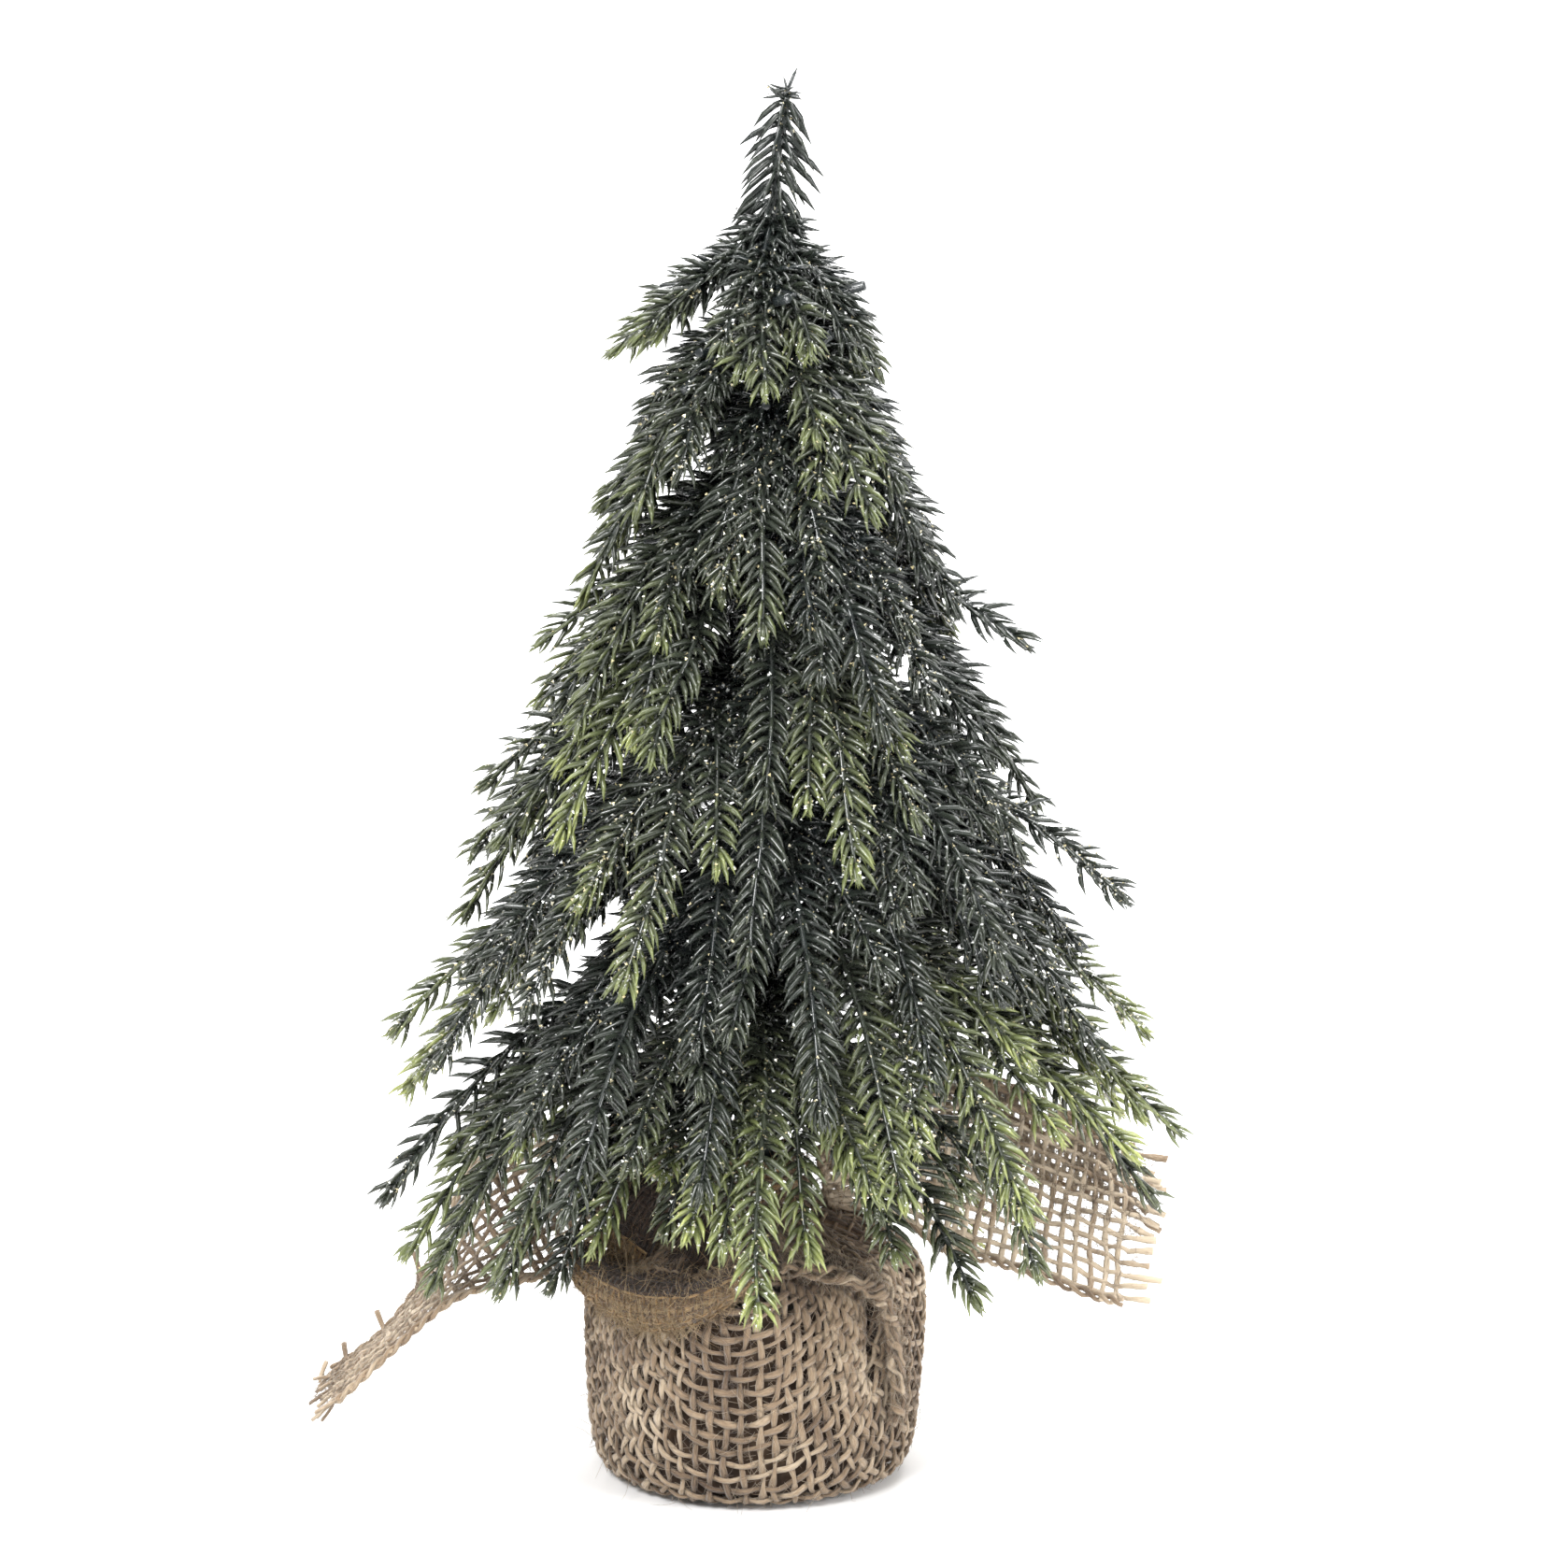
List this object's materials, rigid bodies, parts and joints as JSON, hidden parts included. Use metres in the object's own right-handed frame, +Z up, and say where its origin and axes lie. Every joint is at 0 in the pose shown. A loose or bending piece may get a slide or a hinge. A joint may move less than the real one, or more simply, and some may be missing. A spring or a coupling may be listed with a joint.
{
  "type": "artificial tabletop tree",
  "caption": "Small artificial fir tree with drooping moulded-needle branches on a taped wire trunk, standing in a round weighted base wrapped in burlap and tied with a burlap ribbon.",
  "frame": {"origin": "centre of the base underside, on the surface the tree stands on", "axes": "+Z up along the trunk, -Y towards the front with the ribbon knot, +X to the right as seen from the front"},
  "size_m": [0.1872, 0.1646, 0.3079],
  "materials": {
    "moulded_needles": "glossy moulded polyethylene with glitter",
    "jute": "woven jute, matte",
    "cup_plastic": "matte",
    "plaster": "cast plaster, matte",
    "steel_wire": "drawn wire",
    "floral_tape": "waxed crepe tape, dark green"
  },
  "bodies": {
    "base": {"burlap_wrap": "jute", "wrap_overlap_edge": "jute", "ribbon_collar": "jute", "ribbon_knot": "jute", "base_cup": "cup_plastic", "base_weight": "plaster", "trunk_core_wire": "steel_wire", "trunk_tape": "floral_tape"},
    "branch_01_1": {"branch_01_1": "moulded_needles"},
    "branch_01_2": {"branch_01_2": "moulded_needles"},
    "branch_01_3": {"branch_01_3": "moulded_needles"},
    "branch_01_4": {"branch_01_4": "moulded_needles"},
    "branch_02_1": {"branch_02_1": "moulded_needles"},
    "branch_02_2": {"branch_02_2": "moulded_needles"},
    "branch_02_3": {"branch_02_3": "moulded_needles"},
    "branch_02_4": {"branch_02_4": "moulded_needles"},
    "branch_03_1": {"branch_03_1": "moulded_needles"},
    "branch_03_2": {"branch_03_2": "moulded_needles"},
    "branch_03_3": {"branch_03_3": "moulded_needles"},
    "branch_03_4": {"branch_03_4": "moulded_needles"},
    "branch_04_1": {"branch_04_1": "moulded_needles"},
    "branch_04_2": {"branch_04_2": "moulded_needles"},
    "branch_04_3": {"branch_04_3": "moulded_needles"},
    "branch_04_4": {"branch_04_4": "moulded_needles"},
    "branch_05_1": {"branch_05_1": "moulded_needles"},
    "branch_05_2": {"branch_05_2": "moulded_needles"},
    "branch_05_3": {"branch_05_3": "moulded_needles"},
    "branch_05_4": {"branch_05_4": "moulded_needles"},
    "branch_05_5": {"branch_05_5": "moulded_needles"},
    "branch_06_1": {"branch_06_1": "moulded_needles"},
    "branch_06_2": {"branch_06_2": "moulded_needles"},
    "branch_06_3": {"branch_06_3": "moulded_needles"},
    "branch_06_4": {"branch_06_4": "moulded_needles"},
    "branch_06_5": {"branch_06_5": "moulded_needles"},
    "branch_07_1": {"branch_07_1": "moulded_needles"},
    "branch_07_2": {"branch_07_2": "moulded_needles"},
    "branch_07_3": {"branch_07_3": "moulded_needles"},
    "branch_07_4": {"branch_07_4": "moulded_needles"},
    "branch_07_5": {"branch_07_5": "moulded_needles"},
    "branch_08_1": {"branch_08_1": "moulded_needles"},
    "branch_08_2": {"branch_08_2": "moulded_needles"},
    "branch_08_3": {"branch_08_3": "moulded_needles"},
    "branch_08_4": {"branch_08_4": "moulded_needles"},
    "branch_08_5": {"branch_08_5": "moulded_needles"},
    "branch_09_1": {"branch_09_1": "moulded_needles"},
    "branch_09_2": {"branch_09_2": "moulded_needles"},
    "branch_09_3": {"branch_09_3": "moulded_needles"},
    "branch_09_4": {"branch_09_4": "moulded_needles"},
    "branch_09_5": {"branch_09_5": "moulded_needles"},
    "branch_10_1": {"branch_10_1": "moulded_needles"},
    "branch_10_2": {"branch_10_2": "moulded_needles"},
    "branch_10_3": {"branch_10_3": "moulded_needles"},
    "branch_10_4": {"branch_10_4": "moulded_needles"},
    "leader_sprig": {"leader_sprig": "moulded_needles"},
    "ribbon_tail_left": {"ribbon_tail_left": "jute"},
    "ribbon_tail_right": {"ribbon_tail_right": "jute"}
  },
  "joints": [
    {"name": "branch_01_1_bend", "type": "hinge", "parent": "base", "child": "branch_01_1", "pos_m": [0.00464, 0.00362, 0.26596], "axis": [0.9929, -0.1179, -0.0173], "range_deg": [-8, 20]},
    {"name": "branch_01_2_bend", "type": "hinge", "parent": "base", "child": "branch_01_2", "pos_m": [0.00056, 0.00024, 0.26603], "axis": [0.0665, 0.9978, -0.0012], "range_deg": [-8, 20]},
    {"name": "branch_01_3_bend", "type": "hinge", "parent": "base", "child": "branch_01_3", "pos_m": [0.00399, -0.00364, 0.26597], "axis": [-0.9981, 0.0595, 0.0174], "range_deg": [-8, 20]},
    {"name": "branch_01_4_bend", "type": "hinge", "parent": "base", "child": "branch_01_4", "pos_m": [0.0078, -0.00065, 0.2659], "axis": [-0.1778, -0.9841, 0.0031], "range_deg": [-8, 20]},
    {"name": "branch_02_1_bend", "type": "hinge", "parent": "base", "child": "branch_02_1", "pos_m": [0.00716, 0.00209, 0.25191], "axis": [0.5474, -0.8368, -0.0096], "range_deg": [-8, 20]},
    {"name": "branch_02_2_bend", "type": "hinge", "parent": "base", "child": "branch_02_2", "pos_m": [0.00166, 0.00305, 0.25201], "axis": [0.7983, 0.6021, -0.0139], "range_deg": [-8, 20]},
    {"name": "branch_02_3_bend", "type": "hinge", "parent": "base", "child": "branch_02_3", "pos_m": [0.00076, -0.00208, 0.25202], "axis": [-0.5452, 0.8383, 0.0095], "range_deg": [-8, 20]},
    {"name": "branch_02_4_bend", "type": "hinge", "parent": "base", "child": "branch_02_4", "pos_m": [0.00628, -0.00304, 0.25192], "axis": [-0.7943, -0.6074, 0.0139], "range_deg": [-8, 20]},
    {"name": "branch_03_1_bend", "type": "hinge", "parent": "base", "child": "branch_03_1", "pos_m": [0.00375, 0.00402, 0.23597], "axis": [0.9997, -0.0158, -0.0175], "range_deg": [-8, 20]},
    {"name": "branch_03_2_bend", "type": "hinge", "parent": "base", "child": "branch_03_2", "pos_m": [-0.00033, 0.00031, 0.23604], "axis": [0.0759, 0.9971, -0.0013], "range_deg": [-8, 20]},
    {"name": "branch_03_3_bend", "type": "hinge", "parent": "base", "child": "branch_03_3", "pos_m": [0.00358, -0.00402, 0.23597], "axis": [-0.9995, 0.0247, 0.0174], "range_deg": [-8, 20]},
    {"name": "branch_03_4_bend", "type": "hinge", "parent": "base", "child": "branch_03_4", "pos_m": [0.00769, -0.00028, 0.2359], "axis": [-0.07, -0.9975, 0.0012], "range_deg": [-8, 20]},
    {"name": "branch_04_1_bend", "type": "hinge", "parent": "base", "child": "branch_04_1", "pos_m": [0.00689, 0.00237, 0.21791], "axis": [0.559, -0.8291, -0.0098], "range_deg": [-2, 20]},
    {"name": "branch_04_2_bend", "type": "hinge", "parent": "base", "child": "branch_04_2", "pos_m": [0.00131, 0.00372, 0.21801], "axis": [0.875, 0.4838, -0.0153], "range_deg": [-8, 20]},
    {"name": "branch_04_3_bend", "type": "hinge", "parent": "base", "child": "branch_04_3", "pos_m": [-0.00014, -0.00239, 0.21803], "axis": [-0.5639, 0.8258, 0.0098], "range_deg": [-3, 20]},
    {"name": "branch_04_4_bend", "type": "hinge", "parent": "base", "child": "branch_04_4", "pos_m": [0.00554, -0.00365, 0.21793], "axis": [-0.8594, -0.5111, 0.015], "range_deg": [-8, 20]},
    {"name": "branch_05_1_bend", "type": "hinge", "parent": "base", "child": "branch_05_1", "pos_m": [0.00749, 0.00054, 0.1989], "axis": [0.1206, -0.9927, -0.0021], "range_deg": [-8, 3]},
    {"name": "branch_05_2_bend", "type": "hinge", "parent": "base", "child": "branch_05_2", "pos_m": [0.00407, 0.00436, 0.19896], "axis": [0.973, -0.2301, -0.017], "range_deg": [-8, 20]},
    {"name": "branch_05_3_bend", "type": "hinge", "parent": "base", "child": "branch_05_3", "pos_m": [-0.00072, 0.00245, 0.19904], "axis": [0.5464, 0.8374, -0.0095], "range_deg": [-8, 20]},
    {"name": "branch_05_4_bend", "type": "hinge", "parent": "base", "child": "branch_05_4", "pos_m": [-0.00043, -0.00284, 0.19903], "axis": [-0.6346, 0.7728, 0.0111], "range_deg": [-8, 6]},
    {"name": "branch_05_5_bend", "type": "hinge", "parent": "base", "child": "branch_05_5", "pos_m": [0.00473, -0.00415, 0.19894], "axis": [-0.9254, -0.3787, 0.0162], "range_deg": [-8, 11]},
    {"name": "branch_06_1_bend", "type": "hinge", "parent": "base", "child": "branch_06_1", "pos_m": [0.00685, 0.00226, 0.1789], "axis": [0.4767, -0.879, -0.0083], "range_deg": [-8, 15]},
    {"name": "branch_06_2_bend", "type": "hinge", "parent": "base", "child": "branch_06_2", "pos_m": [0.00154, 0.00459, 0.179], "axis": [0.9699, 0.2431, -0.0169], "range_deg": [-8, 20]},
    {"name": "branch_06_3_bend", "type": "hinge", "parent": "base", "child": "branch_06_3", "pos_m": [-0.00204, 0.00025, 0.17906], "axis": [0.0529, 0.9986, -0.0009], "range_deg": [-8, 20]},
    {"name": "branch_06_4_bend", "type": "hinge", "parent": "base", "child": "branch_06_4", "pos_m": [0.00067, -0.00428, 0.17901], "axis": [-0.9039, 0.4275, 0.0158], "range_deg": [-8, 20]},
    {"name": "branch_06_5_bend", "type": "hinge", "parent": "base", "child": "branch_06_5", "pos_m": [0.00631, -0.00305, 0.17891], "axis": [-0.6436, -0.7653, 0.0112], "range_deg": [-8, 20]},
    {"name": "branch_07_1_bend", "type": "hinge", "parent": "base", "child": "branch_07_1", "pos_m": [0.00487, 0.00429, 0.15794], "axis": [0.8591, -0.5116, -0.015], "range_deg": [-8, 20]},
    {"name": "branch_07_2_bend", "type": "hinge", "parent": "base", "child": "branch_07_2", "pos_m": [-0.00096, 0.00376, 0.15804], "axis": [0.7537, 0.6571, -0.0132], "range_deg": [-8, 20]},
    {"name": "branch_07_3_bend", "type": "hinge", "parent": "base", "child": "branch_07_3", "pos_m": [-0.00227, -0.00196, 0.15806], "axis": [-0.3932, 0.9194, 0.0069], "range_deg": [-8, 20]},
    {"name": "branch_07_4_bend", "type": "hinge", "parent": "base", "child": "branch_07_4", "pos_m": [0.00318, -0.00492, 0.15796], "axis": [-0.9851, -0.1713, 0.0172], "range_deg": [-8, 12]},
    {"name": "branch_07_5_bend", "type": "hinge", "parent": "base", "child": "branch_07_5", "pos_m": [0.00719, -0.00112, 0.15789], "axis": [-0.2247, -0.9744, 0.0039], "range_deg": [-8, 20]},
    {"name": "branch_08_1_bend", "type": "hinge", "parent": "base", "child": "branch_08_1", "pos_m": [0.00691, 0.00173, 0.1359], "axis": [0.3293, -0.9442, -0.0057], "range_deg": [-5, 20]},
    {"name": "branch_08_2_bend", "type": "hinge", "parent": "base", "child": "branch_08_2", "pos_m": [0.00167, 0.00526, 0.13599], "axis": [0.9985, 0.0514, -0.0174], "range_deg": [-8, 20]},
    {"name": "branch_08_3_bend", "type": "hinge", "parent": "base", "child": "branch_08_3", "pos_m": [-0.0031, 0.00152, 0.13607], "axis": [0.2893, 0.9572, -0.005], "range_deg": [-8, 13]},
    {"name": "branch_08_4_bend", "type": "hinge", "parent": "base", "child": "branch_08_4", "pos_m": [-0.00067, -0.00458, 0.13603], "axis": [-0.8689, 0.4947, 0.0152], "range_deg": [-8, 20]},
    {"name": "branch_08_5_bend", "type": "hinge", "parent": "base", "child": "branch_08_5", "pos_m": [0.00544, -0.00394, 0.13592], "axis": [-0.7473, -0.6643, 0.013], "range_deg": [-8, 20]},
    {"name": "branch_09_1_bend", "type": "hinge", "parent": "base", "child": "branch_09_1", "pos_m": [0.00443, 0.00473, 0.11494], "axis": [0.856, -0.5167, -0.0149], "range_deg": [-8, 20]},
    {"name": "branch_09_2_bend", "type": "hinge", "parent": "base", "child": "branch_09_2", "pos_m": [-0.00181, 0.00437, 0.11505], "axis": [0.7912, 0.6114, -0.0138], "range_deg": [-8, 20]},
    {"name": "branch_09_3_bend", "type": "hinge", "parent": "base", "child": "branch_09_3", "pos_m": [-0.00362, -0.00189, 0.11508], "axis": [-0.3411, 0.94, 0.006], "range_deg": [-8, 20]},
    {"name": "branch_09_4_bend", "type": "hinge", "parent": "base", "child": "branch_09_4", "pos_m": [0.00168, -0.00553, 0.11498], "axis": [-0.9996, -0.0206, 0.0174], "range_deg": [-8, 20]},
    {"name": "branch_09_5_bend", "type": "hinge", "parent": "base", "child": "branch_09_5", "pos_m": [0.00697, -0.00116, 0.11489], "axis": [-0.2102, -0.9776, 0.0037], "range_deg": [-8, 16]},
    {"name": "branch_10_1_bend", "type": "hinge", "parent": "base", "child": "branch_10_1", "pos_m": [0.00546, 0.00392, 0.09492], "axis": [0.6786, -0.7344, -0.0118], "range_deg": [-8, 18]},
    {"name": "branch_10_2_bend", "type": "hinge", "parent": "base", "child": "branch_10_2", "pos_m": [-0.00275, 0.00419, 0.09506], "axis": [0.7254, 0.6882, -0.0127], "range_deg": [-8, 20]},
    {"name": "branch_10_3_bend", "type": "hinge", "parent": "base", "child": "branch_10_3", "pos_m": [-0.00279, -0.00415, 0.09506], "axis": [-0.7188, 0.6951, 0.0125], "range_deg": [-8, 20]},
    {"name": "branch_10_4_bend", "type": "hinge", "parent": "base", "child": "branch_10_4", "pos_m": [0.00543, -0.00396, 0.09492], "axis": [-0.6848, -0.7286, 0.012], "range_deg": [-8, 20]},
    {"name": "leader_bend", "type": "hinge", "parent": "base", "child": "leader_sprig", "pos_m": [0.00429, 0, 0.27086], "axis": [0, 1, 0], "range_deg": [-15, 15]},
    {"name": "ribbon_tail_left_swing", "type": "hinge", "parent": "base", "child": "ribbon_tail_left", "pos_m": [-0.0155, 0.002, 0.0635], "axis": [0, 1, 0], "range_deg": [-4, 12]},
    {"name": "ribbon_tail_right_swing", "type": "hinge", "parent": "base", "child": "ribbon_tail_right", "pos_m": [0.0155, 0.003, 0.0635], "axis": [0, -1, 0], "range_deg": [-4, 12]}
  ]
}
